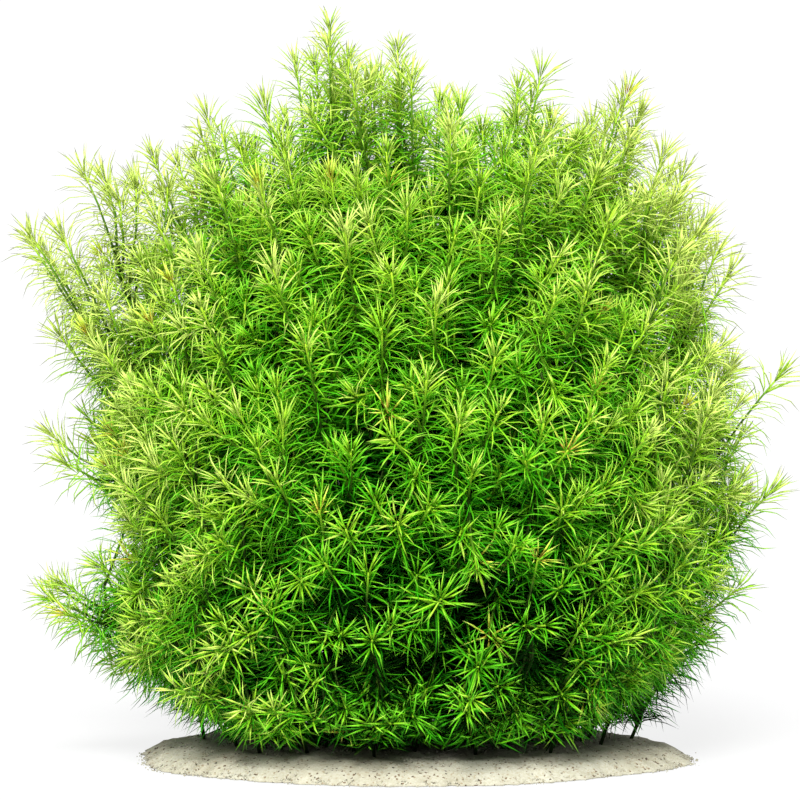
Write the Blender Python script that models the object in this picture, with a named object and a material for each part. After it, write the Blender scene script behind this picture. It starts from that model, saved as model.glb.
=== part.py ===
"""A bush of Rotala nanjenshan, an aquarium stem plant, rooted in a low patch of sand.

Metres, +Z up. The origin is the middle of the sand's flat underside, and the bush's front faces -Y.
Every stem is one solid that grew as one piece: a bare foot planted in the sand, and the leafy shoots
that it forks into. A shoot is a pointed tuft that reaches the tips of its whorled leaves.
"""

import math
import random

import bmesh
import bpy
import numpy as np
from mathutils import Vector

SEED = 7

# The patch of sand
SAND_HALF = (0.096, 0.068)
SAND_PLATEAU = 0.0072
SAND_RIM = 0.0014
SAND_PROFILE = ((0.80, 0.95), (0.93, 0.55), (1.0, 0.0))
SAND_SIDES = 32
SAND_WAVES = ((3, 0.018, 0.6), (5, 0.014, 2.1), (8, 0.008, 4.0))
PLANTED_DEPTH = 0.0052
HOLE_CLEARANCE = 0.00035

# The dome that the shoots end on, and the patch that the stems rise from
STEM_COUNT = 56
SHOOT_COUNT = 186
DOME_CENTRE = Vector((-0.002, 0.004, 0.120))
DOME_HALF = Vector((0.118, 0.100, 0.118))
LOWEST_TIP = math.radians(150)
LOWER_DOME_BULGE = 0.5
CROWDING_AT_TOP = 1.1
FOOT_HALF = (0.076, 0.044)
FOOT_JITTER = 0.0020
REACH_JITTER = 0.055

# Tips of the shoots that stand out on the bush's outline, seen from the front, as (x, z)
OUTLINE_TIPS = (
    (-0.106, 0.034),
    (-0.126, 0.062),
    (-0.115, 0.121),
    (-0.124, 0.150),
    (-0.135, 0.183),
    (-0.115, 0.208),
    (-0.092, 0.213),
    (-0.072, 0.227),
    (-0.052, 0.230),
    (-0.029, 0.259),
    (-0.005, 0.251),
    (0.017, 0.231),
    (0.045, 0.242),
    (0.076, 0.235),
    (0.095, 0.207),
    (0.112, 0.172),
    (0.130, 0.137),
    (0.127, 0.095),
    (0.115, 0.061),
    (0.104, 0.042),
)

# Shoots
FORK_FROM, FORK_TO = 0.28, 0.48
STEM_RADIUS = 0.0010
TWIG_RADIUS = 0.0008
LEAF_REACH = 0.0075
TUFT_RADIUS = 0.0128
LOW_LEAVES_AT, LOW_LEAVES_RADIUS = 0.22, 0.0055
TUFT_SIDES = 5
TUFT_GAP = 0.0003
# A tuft's outline: distance from the leaf tips, the most that is of the shoot's length, and radius
TUFT_OUTLINE = (
    (0.014, 0.35, 1.00),
    (0.052, 0.72, 0.80),
)
SAMPLE_SHARES = np.linspace(0, 1, 9)
NARROWING_PASSES = 60

LEAF_GREEN = (0.16, 0.42, 0.03, 1)
SAND_BEIGE = (0.62, 0.56, 0.44, 1)

GOLDEN_ANGLE = math.pi * (3 - math.sqrt(5))
UP = Vector((0, 0, 1))


def clear_scene():
    for obj in list(bpy.data.objects):
        bpy.data.objects.remove(obj, do_unlink=True)


def new_collection(name):
    collection = bpy.data.collections.new(name)
    bpy.context.scene.collection.children.link(collection)
    return collection


def make_material(name, color, roughness):
    material = bpy.data.materials.new(name)
    material.use_nodes = True
    shader = material.node_tree.nodes["Principled BSDF"]
    shader.inputs["Base Color"].default_value = color
    shader.inputs["Roughness"].default_value = roughness
    material.diffuse_color = color
    return material


# Layout: a place on the unit disc says where a stem is rooted, or where a shoot ends on the dome


def sunflower(count):
    """Places spread evenly over the unit disc, from the middle outwards."""
    places = []
    for i in range(count):
        r, turn = math.sqrt((i + 0.5) / count), i * GOLDEN_ANGLE
        places.append(Vector((r * math.cos(turn), r * math.sin(turn))))
    return places


def dome_tip(place):
    """The point of the dome for a place on the disc, and the dome's outward direction there."""
    share = place.length_squared**CROWDING_AT_TOP
    angle = math.acos(1 - share * (1 - math.cos(LOWEST_TIP)))
    around = place.to_3d().normalized()
    side = math.sin(angle)
    bulge = side if angle < math.pi / 2 else side**LOWER_DOME_BULGE
    offset = around * bulge + UP * math.cos(angle)
    tip = DOME_CENTRE + Vector(a * b for a, b in zip(offset, DOME_HALF))
    return tip, around * side + UP * math.cos(angle)


def foot_of(place, rng):
    x = place.x * FOOT_HALF[0] + rng.uniform(-FOOT_JITTER, FOOT_JITTER)
    y = place.y * FOOT_HALF[1] + rng.uniform(-FOOT_JITTER, FOOT_JITTER)
    return Vector((x, y, SAND_PLATEAU))


def outline_place(x, z):
    """The place on the disc of the dome's point that lies in the direction of (x, z) in the outline."""
    across = (x - DOME_CENTRE.x) / DOME_HALF.x
    height = (z - DOME_CENTRE.z) / DOME_HALF.z
    cosine = height / math.hypot(across, height)
    share = (1 - cosine) / (1 - math.cos(LOWEST_TIP))
    r = math.sqrt(share ** (1 / CROWDING_AT_TOP))
    return Vector((math.copysign(r, across), 0))


def nearest(items, place, place_of):
    return min(items, key=lambda item: (place_of(item) - place).length)


def heading_at_tip(foot, tip, outward):
    """A shoot's direction at its tip: mostly onward from its foot, bent out and a little up."""
    return ((tip - foot).normalized() * 0.6 + outward * 0.35 + UP * 0.15).normalized()


def lay_out_bush():
    """Each stem as its foot and its shoots' (tip, heading), the first of them the stem's own."""
    rng = random.Random(SEED)
    stems = [
        {"place": place, "foot": foot_of(place, rng), "shoots": []}
        for place in sunflower(STEM_COUNT)
    ]
    shoots = []
    for place in sunflower(SHOOT_COUNT):
        tip, outward = dome_tip(place)
        stem = nearest(stems, place, lambda item: item["place"])
        reach = 1 + rng.uniform(-REACH_JITTER, REACH_JITTER)
        shoot = {
            "place": place,
            "tip": stem["foot"].lerp(tip, reach),
            "outward": outward,
        }
        stem["shoots"].append(shoot)
        shoots.append(shoot)
    for x, z in OUTLINE_TIPS:
        shoot = nearest(shoots, outline_place(x, z), lambda item: item["place"])
        shoots.remove(shoot)
        shoot["tip"] = Vector((x, shoot["tip"].y, z))
    bush = []
    for stem in stems:
        own = nearest(stem["shoots"], stem["place"], lambda item: item["place"])
        ordered = [own] + [shoot for shoot in stem["shoots"] if shoot is not own]
        foot = stem["foot"]
        ends = [
            (shoot["tip"], heading_at_tip(foot, shoot["tip"], shoot["outward"]))
            for shoot in ordered
        ]
        bush.append((foot, ends))
    return bush


# Shoots as rings along a curve


def bezier(start, leave, tip, arrive, t):
    """A point of the cubic curve that leaves start along leave and reaches tip along arrive."""
    span = (tip - start).length * 0.38
    a, b = start + leave * span, tip - arrive * span
    s = 1 - t
    return start * s**3 + a * (3 * s * s * t) + b * (3 * s * t * t) + tip * t**3


def heading_at_foot(foot, tip):
    """Leaning towards the tip, but more upright."""
    return ((tip - foot).normalized() * 0.7 + UP * 0.3).normalized()


def shoot_rings(start, leave, tip, arrive, base_radius):
    """The (centre, radius) of each ring of a leafy shoot, from its start to its leaf tips."""
    reach = tip + arrive * LEAF_REACH
    length = (reach - start).length
    rings = [[start, base_radius]]
    for distance, most, radius in reversed(TUFT_OUTLINE):
        t = 1 - min(distance, most * length) / length
        rings.append([bezier(start, leave, reach, arrive, t), radius * TUFT_RADIUS])
    rings.append([reach, 0.0])
    return rings


def stem_rings(foot, ends, rng):
    """The rings of a stem's own shoot, from under the sand, and of each side shoot."""
    tip, heading = ends[0]
    leave = heading_at_foot(foot, tip)
    own = shoot_rings(foot, leave, tip, heading, STEM_RADIUS)
    planted = foot - UP * (PLANTED_DEPTH - HOLE_CLEARANCE)
    lowered = foot + UP * 0.0016
    lifted = bezier(foot, leave, tip, heading, LOW_LEAVES_AT)
    own[:1] = [
        [planted, STEM_RADIUS],
        [lowered, STEM_RADIUS],
        [lifted, LOW_LEAVES_RADIUS],
    ]
    shoots = [own]
    for side_tip, side_heading in ends[1:]:
        fork = rng.uniform(FORK_FROM, FORK_TO)
        start = bezier(foot, leave, tip, heading, fork)
        onward = bezier(foot, leave, tip, heading, fork + 0.05) - start
        towards = onward.normalized() + (side_tip - start).normalized()
        shoots.append(
            shoot_rings(
                start, towards.normalized(), side_tip, side_heading, TWIG_RADIUS
            )
        )
    return shoots


def distance_to_stretches(points, starts, ends):
    """The distance from each point to the nearest of the straight stretches."""
    along = ends - starts
    offset = points[:, None] - starts[None]
    share = (offset * along).sum(2) / (along * along).sum(1)
    away = offset - along * np.clip(share, 0, 1)[..., None]
    return np.sqrt((away * away).sum(2)).min(1)


def room_along(bush):
    """The most that the radius can be at each sample of each stretch between two rings."""
    stretches = []
    for i, shoots in enumerate(bush):
        for rings in shoots:
            stretches += [(i, a[0], b[0]) for a, b in zip(rings, rings[1:])]
    owners = np.array([i for i, _, _ in stretches])
    starts = np.array([a for _, a, _ in stretches])
    ends = np.array([b for _, _, b in stretches])
    samples = starts[:, None] + (ends - starts)[:, None] * SAMPLE_SHARES[:, None]
    room = np.empty(samples.shape[:2])
    for k, (owner, points) in enumerate(zip(owners, samples)):
        others = owners != owner
        near = distance_to_stretches(points, starts[others], ends[others])
        height = np.maximum(points[:, 2] - SAND_PLATEAU - TUFT_GAP, STEM_RADIUS)
        room[k] = np.minimum(near / 2 - TUFT_GAP, height)
    return np.maximum(room, TWIG_RADIUS * 0.8)


def keep_apart(bush):
    """Narrows every tuft to half of the way to the next stem, and to its height above the sand."""
    shoots = [rings for shoots in bush for rings in shoots]
    radii = np.array([radius for rings in shoots for _, radius in rings])
    firsts = []
    for rings in shoots:
        base = firsts[-1] + 2 if firsts else 0
        firsts += range(base, base + len(rings) - 1)
    firsts = np.array(firsts)
    room = room_along(bush)
    rows = np.arange(len(firsts))
    for _ in range(NARROWING_PASSES):
        at_first = radii[firsts][:, None] * (1 - SAMPLE_SHARES)
        at_last = radii[firsts + 1][:, None] * SAMPLE_SHARES
        radius = np.maximum(at_first + at_last, 1e-6)
        worst = np.argmin(room / radius, axis=1)
        over = np.maximum(1 - (room / radius)[rows, worst], 0)
        first_part = at_first[rows, worst] / radius[rows, worst]
        np.multiply.at(radii, firsts, 1 - over * first_part)
        np.multiply.at(radii, firsts + 1, 1 - over * (1 - first_part))
    widths = iter(radii)
    for rings in shoots:
        for ring in rings:
            ring[1] = float(next(widths))


# Solids


def section_curve(name, sides, collection):
    """A regular outline of radius 1, which a curve is bevelled with."""
    data = bpy.data.curves.new(name, "CURVE")
    data.dimensions = "3D"
    spline = data.splines.new("POLY")
    spline.points.add(sides - 1)
    for k, point in enumerate(spline.points):
        turn = 2 * math.pi * k / sides
        point.co = (math.cos(turn), math.sin(turn), 0, 1)
    spline.use_cyclic_u = True
    obj = bpy.data.objects.new(name, data)
    hide_helper(obj)
    collection.objects.link(obj)
    return obj


def hide_helper(obj):
    obj.hide_render = True
    obj.display_type = "WIRE"


def solid_along(name, rings, section, collection):
    """A closed mesh that follows the rings, with the given outline scaled to each radius."""
    data = bpy.data.curves.new(name, "CURVE")
    data.dimensions = "3D"
    data.twist_mode = "MINIMUM"
    data.bevel_mode = "OBJECT"
    data.bevel_object = section
    data.use_fill_caps = True
    spline = data.splines.new("POLY")
    spline.points.add(len(rings) - 1)
    for point, (centre, radius) in zip(spline.points, rings):
        point.co = (*centre, 1)
        point.radius = radius
    curve = bpy.data.objects.new(name + "_line", data)
    bpy.context.scene.collection.objects.link(curve)
    graph = bpy.context.evaluated_depsgraph_get()
    mesh = bpy.data.meshes.new_from_object(curve.evaluated_get(graph))
    shape = bmesh.new()
    shape.from_mesh(mesh)
    bmesh.ops.remove_doubles(shape, verts=shape.verts, dist=1e-6)
    bmesh.ops.recalc_face_normals(shape, faces=shape.faces)
    shape.to_mesh(mesh)
    shape.free()
    obj = bpy.data.objects.new(name, mesh)
    obj.matrix_world = curve.matrix_world
    collection.objects.link(obj)
    bpy.data.objects.remove(curve, do_unlink=True)
    return obj


def combine(target, tool, operation, solver="EXACT"):
    """Adds a Boolean modifier that joins tool to target, or cuts it out."""
    modifier = target.modifiers.new(operation.lower() + "_" + tool.name, "BOOLEAN")
    modifier.operation = operation
    modifier.solver = solver
    modifier.object = tool
    hide_helper(tool)


def make_stem(name, shoots, section, parts, cutters, material):
    """A stem with its side shoots fused on. The exact solver loses some of these forks whole."""
    stem = solid_along(name, shoots[0], section, parts)
    stem.data.materials.append(material)
    for k, rings in enumerate(shoots[1:]):
        side = solid_along(f"{name}_side_{k + 1}", rings, section, cutters)
        combine(stem, side, "UNION", solver="MANIFOLD")
    return stem


def sand_outline(turn):
    """How far the patch's uneven edge lies out at a turn about its middle, as a share."""
    return 1 + sum(size * math.sin(n * turn + phase) for n, size, phase in SAND_WAVES)


def make_sand(parts, material):
    """A low mound: a turned profile, stretched to the patch's width and depth."""
    rise = SAND_PLATEAU - SAND_RIM
    profile = [(0.0, SAND_PLATEAU)]
    profile += [(r, SAND_RIM + rise * share) for r, share in SAND_PROFILE]
    profile += [(1.0, 0.0), (0.0, 0.0)]
    shape = bmesh.new()
    points = [shape.verts.new((r, 0, z)) for r, z in profile]
    for a, b in zip(points, points[1:]):
        shape.edges.new((a, b))
    bmesh.ops.spin(
        shape,
        geom=shape.verts[:] + shape.edges[:],
        axis=(0, 0, 1),
        cent=(0, 0, 0),
        steps=SAND_SIDES,
        angle=2 * math.pi,
        use_merge=True,
    )
    bmesh.ops.remove_doubles(shape, verts=shape.verts, dist=1e-5)
    for vert in shape.verts:
        edge = sand_outline(math.atan2(vert.co.y, vert.co.x))
        vert.co.x *= SAND_HALF[0] * edge
        vert.co.y *= SAND_HALF[1] * edge
    bmesh.ops.recalc_face_normals(shape, faces=shape.faces)
    mesh = bpy.data.meshes.new("sand_bed")
    shape.to_mesh(mesh)
    shape.free()
    mesh.materials.append(material)
    sand = bpy.data.objects.new("sand_bed", mesh)
    parts.objects.link(sand)
    return sand


def make_holes(feet, cutters):
    """One cutter with a short, square, upright hole for the foot of every stem."""
    section = section_curve("hole_section", 4, cutters)
    radius = (STEM_RADIUS + HOLE_CLEARANCE) * math.sqrt(2)
    shape = bmesh.new()
    for k, foot in enumerate(feet):
        rings = [[foot - UP * PLANTED_DEPTH, radius], [foot + UP * 0.004, radius]]
        hole = solid_along(f"hole_{k + 1:02d}", rings, section, cutters)
        shape.from_mesh(hole.data)
        bpy.data.objects.remove(hole, do_unlink=True)
    mesh = bpy.data.meshes.new("stem_holes")
    shape.to_mesh(mesh)
    shape.free()
    holes = bpy.data.objects.new("stem_holes", mesh)
    cutters.objects.link(holes)
    return holes


def main():
    clear_scene()
    parts = new_collection("rotala_bush")
    cutters = new_collection("cutters")
    leaf = make_material("leaf_green", LEAF_GREEN, 0.5)
    sand = make_material("sand_beige", SAND_BEIGE, 0.95)
    section = section_curve("tuft_section", TUFT_SIDES, cutters)

    stems = lay_out_bush()
    rng = random.Random(SEED + 1)
    bush = [stem_rings(foot, ends, rng) for foot, ends in stems]
    keep_apart(bush)
    for k, shoots in enumerate(bush):
        make_stem(f"stem_{k + 1:02d}", shoots, section, parts, cutters, leaf)

    bed = make_sand(parts, sand)
    holes = make_holes([foot for foot, _ in stems], cutters)
    combine(bed, holes, "DIFFERENCE")


main()
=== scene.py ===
"""The looks of a bush of Rotala nanjenshan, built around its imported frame.

Metres, +Z up, and the bush's front faces -Y. The stems stand where the frame's solids stand: the
layout below is the one that placed them. Each stem is one leafy piece: thin forked stems, more side
twigs, and whorls of narrow leaves. The sand gets its relief, its specks and its loose grains.
"""

import math
import random
from collections import namedtuple

import bpy
import numpy as np
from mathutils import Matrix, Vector


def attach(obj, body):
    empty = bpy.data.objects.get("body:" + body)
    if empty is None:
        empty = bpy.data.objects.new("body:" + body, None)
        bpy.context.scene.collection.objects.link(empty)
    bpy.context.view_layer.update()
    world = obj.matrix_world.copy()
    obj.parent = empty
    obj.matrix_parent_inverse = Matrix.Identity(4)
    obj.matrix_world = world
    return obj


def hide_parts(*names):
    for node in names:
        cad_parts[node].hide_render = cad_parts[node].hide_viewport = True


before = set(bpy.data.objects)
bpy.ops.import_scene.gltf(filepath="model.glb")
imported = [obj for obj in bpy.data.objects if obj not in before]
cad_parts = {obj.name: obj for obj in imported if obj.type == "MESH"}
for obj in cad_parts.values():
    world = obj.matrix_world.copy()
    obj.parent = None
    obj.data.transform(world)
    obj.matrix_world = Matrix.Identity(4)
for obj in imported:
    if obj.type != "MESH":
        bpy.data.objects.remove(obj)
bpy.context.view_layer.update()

FULL_TURN = 2 * math.pi
GOLDEN_ANGLE = math.pi * (3 - math.sqrt(5))
UP = Vector((0, 0, 1))

# Seeds of the random draws
SEED = 7
FORK_SEED = SEED + 1
SWAY_SEED = SEED + 2
TWIG_SEED = SEED + 3
COMPANION_SEED = SEED + 4
GRAIN_SEED = SEED + 5
SKIRT_SEED = SEED + 6
INNER_TWIG_SEED = SEED + 7
OUTLINE_TWIG_SEED = SEED + 8
CORE_SEED = SEED + 9
CROWN_SEED = SEED + 10
LEAF_SEED = SEED * 100

# The layout of the frame's solids
STEM_COUNT = 56
SHOOT_COUNT = 186
DOME_CENTRE = Vector((-0.002, 0.004, 0.120))
DOME_HALF = Vector((0.118, 0.100, 0.118))
LOWEST_TIP = math.radians(150)
LOWER_DOME_BULGE = 0.5
CROWDING_AT_TOP = 1.1
FOOT_HALF = (0.076, 0.044)
FOOT_JITTER = 0.0020
REACH_JITTER = 0.055
FORK_FROM, FORK_TO = 0.28, 0.48
ONWARD_STEP = 0.05
TIP_ONWARD, TIP_OUTWARD, TIP_UPWARD = 0.60, 0.35, 0.15
FOOT_ONWARD, FOOT_UPWARD = 0.7, 0.3
BEZIER_HANDLE = 0.38

# Growing tips that stand out on the outline, as (x, z)
OUTLINE_TIPS = (
    (-0.106, 0.034), (-0.126, 0.062), (-0.115, 0.121), (-0.124, 0.150), (-0.135, 0.183),
    (-0.115, 0.208), (-0.092, 0.213), (-0.072, 0.227), (-0.052, 0.230), (-0.029, 0.259),
    (-0.005, 0.251), (0.017, 0.231), (0.045, 0.242), (0.076, 0.235), (0.095, 0.207),
    (0.112, 0.172), (0.130, 0.137), (0.127, 0.095), (0.115, 0.061), (0.104, 0.042),
)

# More growing tips between those
OUTLINE_TWIGS = (
    (-0.100, 0.030), (-0.108, 0.040), (-0.116, 0.047), (-0.121, 0.054), (-0.122, 0.063),
    (-0.128, 0.0585), (-0.132, 0.185), (-0.107, 0.203), (-0.102, 0.197), (-0.108, 0.096),
    (-0.112, 0.108), (-0.121, 0.106), (-0.127, 0.112), (-0.118, 0.172), (-0.129, 0.178),
    (-0.122, 0.186), (-0.124, 0.169), (-0.083, 0.207), (-0.076, 0.211), (-0.073, 0.219),
    (-0.066, 0.221), (-0.060, 0.216), (-0.069, 0.211), (-0.041, 0.243), (-0.034, 0.244),
    (-0.029, 0.251), (-0.026, 0.237), (-0.022, 0.247), (-0.027, 0.229), (-0.024, 0.241),
    (-0.018, 0.222), (-0.015, 0.235), (-0.009, 0.228), (-0.004, 0.241), (0.037, 0.236),
    (0.042, 0.232), (0.052, 0.213), (0.058, 0.217), (0.048, 0.224), (0.066, 0.210),
    (0.069, 0.221), (0.074, 0.203), (0.077, 0.214), (0.080, 0.196), (0.080, 0.226),
    (0.083, 0.202), (0.087, 0.213), (0.089, 0.192), (0.090, 0.204), (0.093, 0.199),
    (0.095, 0.189), (0.098, 0.171), (0.098, 0.186), (0.102, 0.188), (0.103, 0.177),
    (0.106, 0.180), (0.101, 0.184), (0.064, 0.222), (0.073, 0.229), (0.117, 0.112),
    (0.114, 0.100), (0.091, 0.034), (0.084, 0.027),
)

# Where the outline draws in between its tips
OUTLINE_HOLLOWS = (
    (0.064, 0.010), (0.088, 0.026), (0.114, 0.071), (0.121, 0.103), (0.116, 0.119),
    (0.115, 0.152), (0.105, 0.164), (0.098, 0.193), (0.087, 0.214), (0.056, 0.229),
    (0.018, 0.224), (-0.018, 0.248), (-0.055, 0.224), (-0.078, 0.221), (-0.099, 0.183),
    (-0.126, 0.152), (-0.109, 0.131), (-0.119, 0.096), (-0.112, 0.084), (-0.105, 0.073),
    (-0.107, 0.0687), (-0.108, 0.059), (-0.112, 0.0456), (-0.109, 0.036), (-0.091, 0.021),
    (-0.066, 0.010),
)

# How far leaves reach past a tip, and how far the tips of twigs stay inside the outline
TIP_LEAVES = 0.004
DRAWN_BACK = 0.0015
TWIG_MARGIN = 0.012
LEFT_MARGIN = 0.003

# The height from which shoots turn away from the bush, and how much they do near the sand
LOW_FROM, LOW_TO = 0.110, 0.042
TURN_OUT = 0.80
TURNED_OUT_RISE = 0.12

# Twigs that fill the dome between the frame's shoots
TWIG_COUNT = 500
TWIG_CANDIDATES = 24
TWIG_LOWNESS = 0.40
TWIG_FORK = (0.42, 0.78)
TWIG_REACH = (0.82, 1.01)
TWIG_TURN = 0.20
LOW_TWIG_SHORTER = 0.07
INNER_TWIG_COUNT = 480
INNER_TWIG_REACH = (0.45, 0.88)

# Twigs round each shoot that stands out on the outline
COMPANIONS = 4
COMPANION_TURN_JITTER = 0.5
COMPANION_FORK = (0.50, 0.80)
COMPANION_BACK = (0.006, 0.038)
COMPANION_ASIDE = (0.008, 0.019)
COMPANION_OUTWARD, COMPANION_UPWARD = 0.25, 0.10
OUTLINE_TWIG_DEPTH = 0.030
OUTLINE_TWIG_FORK = (0.45, 0.70)
OUTLINE_TWIG_TURN = 6

# Bands of short twigs: round the foot, in the middle, and under the top
Band = namedtuple("Band", "seed count heights spreads widening forks lifts")
SKIRT = Band(SKIRT_SEED, 300, (0.0085, 0.036), (0.22, 0.72), 0.22, (0.05, 0.20), (0.0, 0.6))
CORE = Band(CORE_SEED, 170, (0.035, 0.105), (0.15, 0.72), 0, (0.15, 0.45), (0.0, 0.6))
CROWN = Band(CROWN_SEED, 110, (0.130, 0.205), (0.05, 0.72), 0, (0.50, 0.75), (1.5, 5.0))

# Stems
STEM_SIDES = 5
STEM_RADIUS = 0.00072
TWIG_RADIUS = STEM_RADIUS * 0.85
TIP_RADIUS = 0.00036
RING_SPACING = 0.011
PLANTED = 0.004
WAVER = 0.00063
PATH_STEPS = 48
SIDE_HINT = (0.3, 0.9, 0.2)

# Whorls along a shoot, with lengths measured from its tip
LEAFY_SHARE = 0.95
FIRST_WHORL = 0.0003
FIRST_GAP, LOW_GAP_WIDER, GAP_GROWTH = 0.0014, 0.5, 1.36
GAP_JITTER = (0.9, 1.1)
INTERNODE = 0.0037
OLD_FROM, OLD_INTERNODE = 0.045, 0.0047
WHORL_COUNTS, TIP_WHORL_COUNTS = (5, 6, 6, 7), (5, 5, 6)
TIP_WHORLS_TO = 0.002
WHORL_TURN_JITTER = 0.12

# Leaf sizes
LEAF_LENGTH = (0.0124, 0.0176)
LOW_LEAF_SHARE = 0.94
TIP_LEAF_SHARE, GROWN_WITHIN = 0.70, 0.0060
LENGTH_JITTER = (0.84, 1.10)
LEAF_HALF_WIDTH = 0.00029
LEAF_THICKNESS = 0.00024
GIRTH_JITTER = (0.82, 1.12)
OLD_GIRTH, TIP_GIRTH_MORE, TIP_GIRTH_WITHIN = 0.90, 0.32, 0.012
LEAF_SUNK = TIP_RADIUS * 0.6

# How leaves open and arch with age, in degrees
UPRIGHT, LOW_UPRIGHT_MORE = (10, 24), 20
OPENED, LOW_OPENED_LESS = 39, 5
ANGLE_SPREAD = 10
TIP_ARCH, OLD_ARCH_MORE, LOW_ARCH_LESS = 15, 68, 42
ARCH_SPREAD = 11
LEAST_ARCH = 4

# Lengths from a tip over which they do so, and by how much shoots differ
OPENING, LOW_OPENING_LESS = 0.0085, 0.0040
OPENING_JITTER = (0.7, 1.5)
ARCHED_WITHIN = 0.013
ARCH_JITTER = (0.75, 1.30)

# Angles in radians, and a leaf's droop and curl as shares of its length
LEAST_ANGLE = 0.05
LEAF_TURN_SPREAD = 0.12
TWIST_SPREAD = 0.35
DROOP = 0.10
CURL_SPREAD = 0.10

# Three kinds of leaf, each with rings of three points at shares of its length, and their widths
LeafKind = namedtuple("LeafKind", "pointed rings")
FINE_LEAF = LeafKind(True, ((0.20, 1.0), (0.66, 0.95)))
COARSE_LEAF = LeafKind(True, ((0.48, 1.1),))
DEEP_LEAF = LeafKind(False, ((0.0, 1.3),))

# Which kind a leaf is, by its bend, its distance from the tip and its depth in the dome
FINE_BEND, FINE_LENGTH, FINE_DEPTH = math.radians(26), 0.055, 0.030
COARSE_BEND = math.radians(32)
DEEP, DEEP_FROM = 0.017, 0.020
# Deep leaves are made up to five times as wide, so that their painted dark tone fills the shade between
# them.
DEEP_WIDER, WIDEST_DEPTH = 4.0, 0.043
DEEPEST, DEEPEST_LEFT_OUT = 0.034, 0.45

# The lowest that leaves may reach: just above the sand, and higher at the front
GROUND_CLEARANCE = 0.0008
BASE_CLEARANCE = 0.001
FRONT_RISE, FRONT_FROM = 0.190, 0.045
BEYOND_SAND_RISE = 0.02

# How far the dome draws in near the sand
LOW_DOME_SHARE, LOW_DOME_TO = 0.74, 0.060

# Tones of leaves and stems, from dark at 0 to bright, as an amount and what it depends on
# Besides the paler young tips and the random shifts, these tones hold painted light and shade:
# painted light high up, near the dome's surface and at the two ends, painted shade deep inside, low
# down and at the foot.
HIGH_FROM, HIGH_TO = 0.03, 0.23
SIDE_FROM, SIDE_TO = 0.045, 0.095
LEFT_FROM, LEFT_TO = 0.03, 0.08
SHADE_FROM, SHADE_TO = 0.125, 0.060
SIDE_LESS_SHADED = 0.8
UPPER_TIPS, UPPER_TIP_LENGTH = 0.17, 0.014
UPPER_PAINTED_LIGHT_OUTSIDE, UPPER_PAINTED_LIGHT_DEPTH = 0.26, 0.020
UPPER_PAINTED_LIGHT_HIGH = 0.385
LOWER_TIPS, LOWER_TIP_LENGTH = 0.53, 0.0118
LOWER_PAINTED_LIGHT_OUTSIDE, LOWER_PAINTED_LIGHT_DEPTH = 0.03, 0.010
LOWER_PAINTED_LIGHT_HIGH = 0.20
LIT_INSIDE, LIT_DEPTH = 0.3, 0.022
FOOT_PAINTED_SHADE, FOOT_TIP_LENGTH = 0.085, 0.012
FOOT_FROM, FOOT_TO = 0.080, 0.035
SIDE_PAINTED_LIGHT, LEFT_PAINTED_LIGHT, EDGE_DEPTH = 0.24, 0.38, 0.04
OUTLINE_DULLER = 0.08
LEAF_TONE_SPREAD, SHOOT_TONE_SPREAD = 0.070, 0.045
BASE_GLOW = 0.07
GREENEST = 0.755
STEM_DARKEST = 0.03
STEM_YOUNG, STEM_YOUNG_LENGTH = 0.42, 0.12
# Painted shade: young stems are darker near the sand, and their bright tips fade out there.
STEM_LOW_SHARE, STEM_LOW_FROM, STEM_LOW_TO = 0.40, 0.03, 0.15
STEM_TIP, STEM_TIP_LENGTH = 0.48, 0.009
STEM_TIP_DARK_TO, STEM_TIP_BRIGHT_FROM = 0.011, 0.022

# Tones above WARM_FROM are orange growing tips
WARM_FROM = 0.82
WARM_TONE, WARM_TONE_MORE = 0.84, 0.14
WARM_SHARE, WARM_LENGTH = 0.065, 0.0032

# Marks say how far along a leaf a point lies. DARK_MARKS is added to them in a leaf with a dark
# end, and marks above STEM_MARKS_FROM are stems
MARK_SPAN, DARK_MARKS = 0.40, 0.42
STEM_MARKS_FROM, STEM_MARK, STEM_MARK_SPREAD = 0.83, 0.90, 0.04
DARK_ENDS, OUTLINE_DARK_ENDS = 0.15, 0.60
UV_NAMES = ("LeafTone", "OFBake")

# Colours by tone, which carries painted light and shade; the near-black lowest stops are painted shade
GREENS = (
    (0.0, (0.0005, 0.004, 0.0005)),
    (0.045, (0.0008, 0.013, 0.0006)),
    (0.10, (0.005, 0.105, 0.002)),
    (0.22, (0.028, 0.335, 0.003)),
    (0.40, (0.135, 0.535, 0.008)),
    (0.60, (0.365, 0.655, 0.024)),
    (0.80, (0.680, 0.810, 0.190)),
    (0.84, (0.78, 0.52, 0.05)),
    (1.0, (0.86, 0.36, 0.13)),
)
BARK = (
    (0.0, (0.003, 0.008, 0.002)),
    (0.30, (0.014, 0.042, 0.005)),
    (0.60, (0.120, 0.300, 0.010)),
    (0.98, (0.440, 0.680, 0.030)),
)
WARM_LEAF_END = (0.55, 0.72, 0.06)
# The pale end is a painted highlight on the outer half of brightly toned leaves, in patches.
PAINTED_HIGHLIGHT_END, PAINTED_HIGHLIGHT_STRENGTH = (0.62, 0.77, 0.26), 0.70
DARK_END = (0.085, 0.095, 0.03)
WARM_FADING = ((0.10, 0), (0.50, 1))
OUTER_HALF = ((0.45, 0), (0.95, 1))
BRIGHT_TONES = ((0.26, 0), (0.70, 1))

# Surface of the leaves
STREAK_STRETCH, STREAK_SCALE, STREAK_DETAIL = (60, 12, 1), 4.0, 3.0
STREAK_SHADES = ((0.3, 0.72), (0.7, 1.15))
PATCH_SCALE, PATCH_DETAIL = 23.0, 1.0
STREAK_BUMP, STREAK_BUMP_HEIGHT = 0.25, 0.0002
LEAF_ROUGHNESS = 0.42
GLOSS_BY_TONE, MOST_GLOSS = 1.4, 0.34
GLOSS_TINT = (0.82, 1.0, 0.26)

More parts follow.
